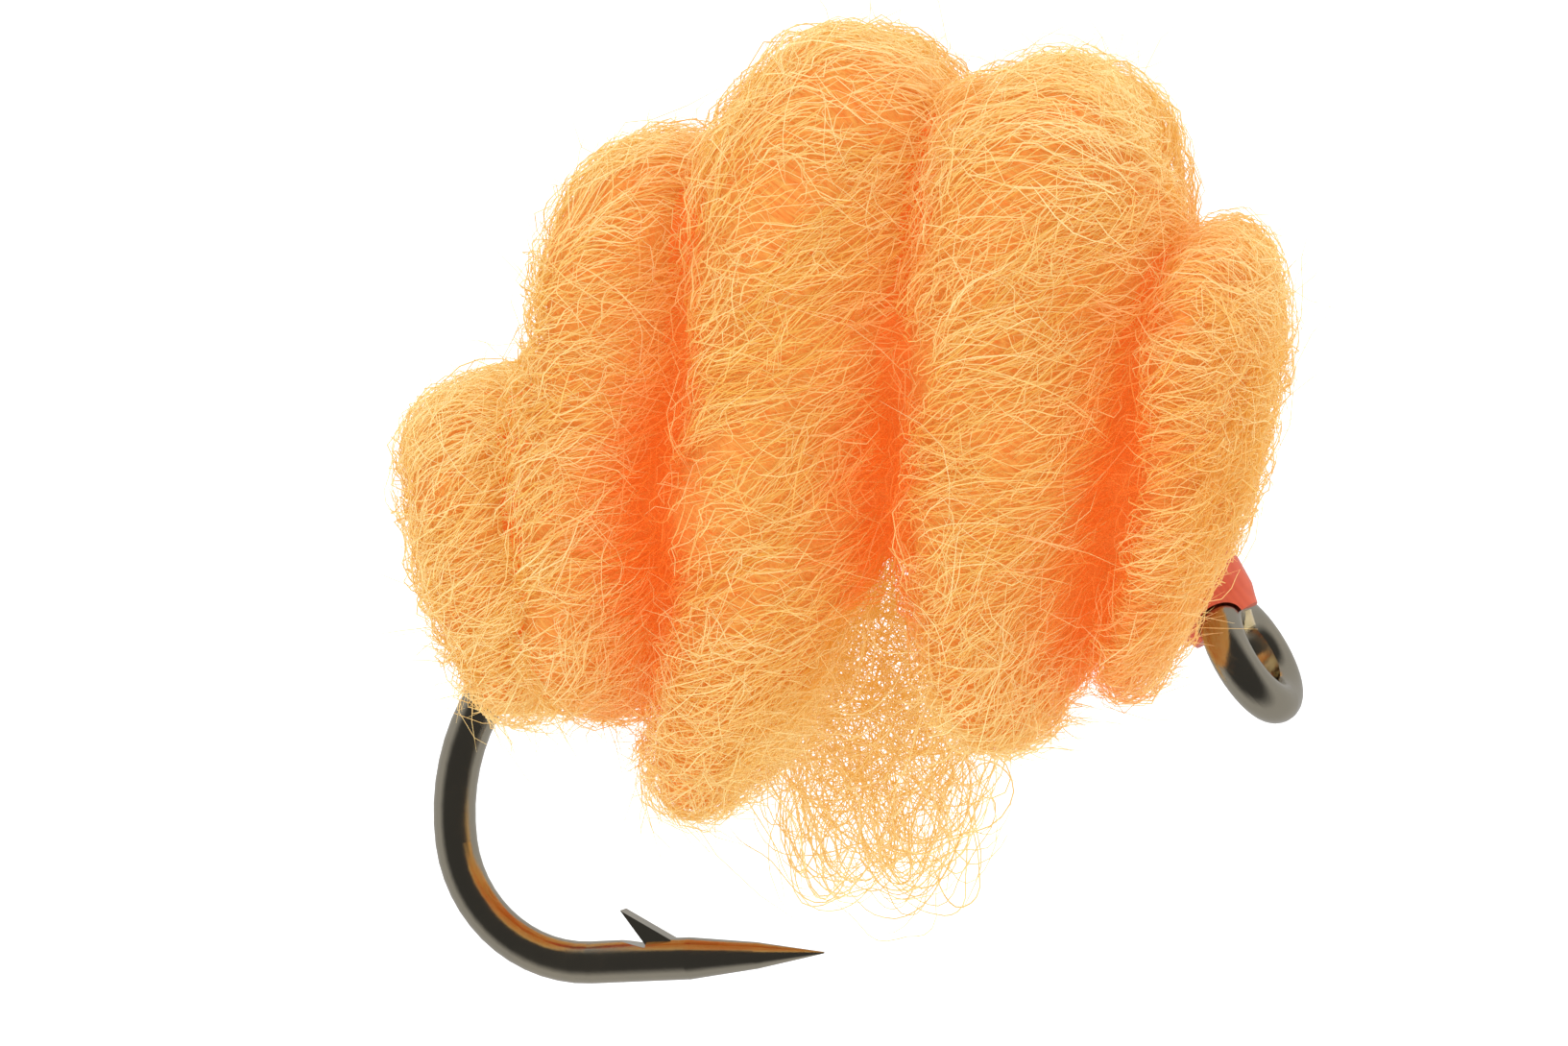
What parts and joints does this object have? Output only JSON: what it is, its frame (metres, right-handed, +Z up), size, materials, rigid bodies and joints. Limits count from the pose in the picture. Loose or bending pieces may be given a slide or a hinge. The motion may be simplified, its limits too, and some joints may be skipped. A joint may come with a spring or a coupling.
{
  "type": "egg fly",
  "caption": "Single barbed egg hook with a turned-down ring eye, dressed with fat fuzzy yarn loops bound to the shank and a red thread head.",
  "frame": {"origin": "centre of the hole in the hook's eye, on the hook's mid plane", "axes": "+X along the shank towards the eye, +Z up away from the point, +Y to the far side (right-handed)"},
  "size_m": [0.0164, 0.0108, 0.0171],
  "materials": {
    "hook": "dark bronzed, glossy",
    "thread": "waxed thread",
    "head_thread": "thread sealed under clear cement",
    "cement": "clear, slightly yellow",
    "yarn": "fuzzy spun yarn"
  },
  "bodies": {
    "root": {"hook": "hook", "thread_base": "thread", "thread_tie_1": "thread", "thread_tie_2": "thread", "thread_tie_3": "thread", "thread_tie_4": "thread", "thread_tie_5": "thread", "yarn_run_1": "yarn", "yarn_run_2": "yarn", "yarn_run_3": "yarn", "yarn_run_4": "yarn", "thread_head": "head_thread", "head_cement": "cement", "yarn_loop_near_1": "yarn", "yarn_loop_near_2": "yarn", "yarn_loop_near_3": "yarn", "yarn_loop_near_4": "yarn", "yarn_loop_near_5": "yarn", "yarn_loop_far_1": "yarn", "yarn_loop_far_2": "yarn", "yarn_loop_far_3": "yarn", "yarn_loop_far_4": "yarn", "yarn_loop_far_5": "yarn", "loose_fibre_tuft": "yarn"}
  },
  "joints": []
}
